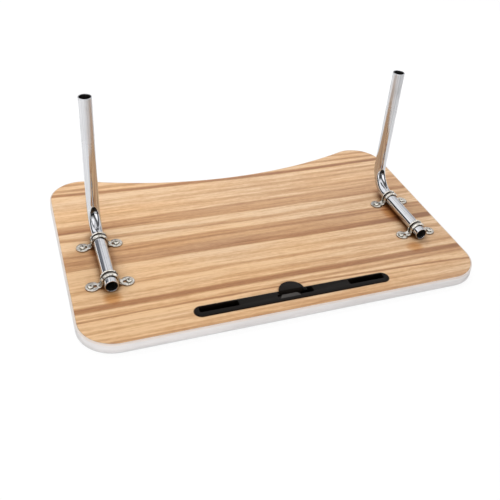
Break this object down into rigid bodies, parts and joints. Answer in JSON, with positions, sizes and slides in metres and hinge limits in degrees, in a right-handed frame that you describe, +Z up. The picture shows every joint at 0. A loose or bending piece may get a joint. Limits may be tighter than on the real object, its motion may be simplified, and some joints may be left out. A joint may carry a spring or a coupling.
{
  "type": "wheelchair tray table",
  "caption": "Flat wood-faced tray board with a hollow body side and bent tube legs clipped to its fitting face by pipe saddles, and a slim slot insert with a hinged half-round flap.",
  "frame": {"origin": "middle of the board's outline, on the surface that the board lies on, work face down", "axes": "+X along the board's width, +Y from the straight front edge to the hollow body side, +Z up out of the face that carries the tubes"},
  "size_m": [0.6, 0.39, 0.234],
  "materials": {
    "board": "pressed wood core with its work face",
    "wood_face": "satin wood-grain laminate",
    "edge_band": "satin pale grey edge strip",
    "black_plastic": "semi-gloss black moulding",
    "grey_pad": "matt dark grey",
    "tube": "bright plated tube",
    "saddle": "bright plated pressed strip",
    "screw_steel": "plated steel"
  },
  "bodies": {
    "tray": {"board_core": "board", "face_laminate": "wood_face", "edge_band": "edge_band", "slot_insert": "black_plastic", "slot_rest_pad": "grey_pad", "flap_pin": "screw_steel", "saddle_front_left": "saddle", "saddle_rear_left": "saddle", "saddle_front_right": "saddle", "saddle_rear_right": "saddle", "screw_front_left_outer": "screw_steel", "screw_front_left_inner": "screw_steel", "screw_rear_left_outer": "screw_steel", "screw_rear_left_inner": "screw_steel", "screw_front_right_outer": "screw_steel", "screw_front_right_inner": "screw_steel", "screw_rear_right_outer": "screw_steel", "screw_rear_right_inner": "screw_steel"},
    "left_leg": {"leg_tube_left": "tube"},
    "right_leg": {"leg_tube_right": "tube"},
    "flap": {"slot_flap": "black_plastic"}
  },
  "joints": [
    {"name": "left_leg_turn", "type": "hinge", "parent": "tray", "child": "left_leg", "pos_m": [-0.24375, 0, 0.0248], "axis": [0, 1, 0], "range_deg": [-90, 90]},
    {"name": "right_leg_turn", "type": "hinge", "parent": "tray", "child": "right_leg", "pos_m": [0.24375, 0, 0.0248], "axis": [0, -1, 0], "range_deg": [-90, 90]},
    {"name": "flap_lift", "type": "hinge", "parent": "tray", "child": "flap", "pos_m": [-0.0037, -0.15905, 0.0144], "axis": [1, 0, 0], "range_deg": [0, 90]}
  ]
}
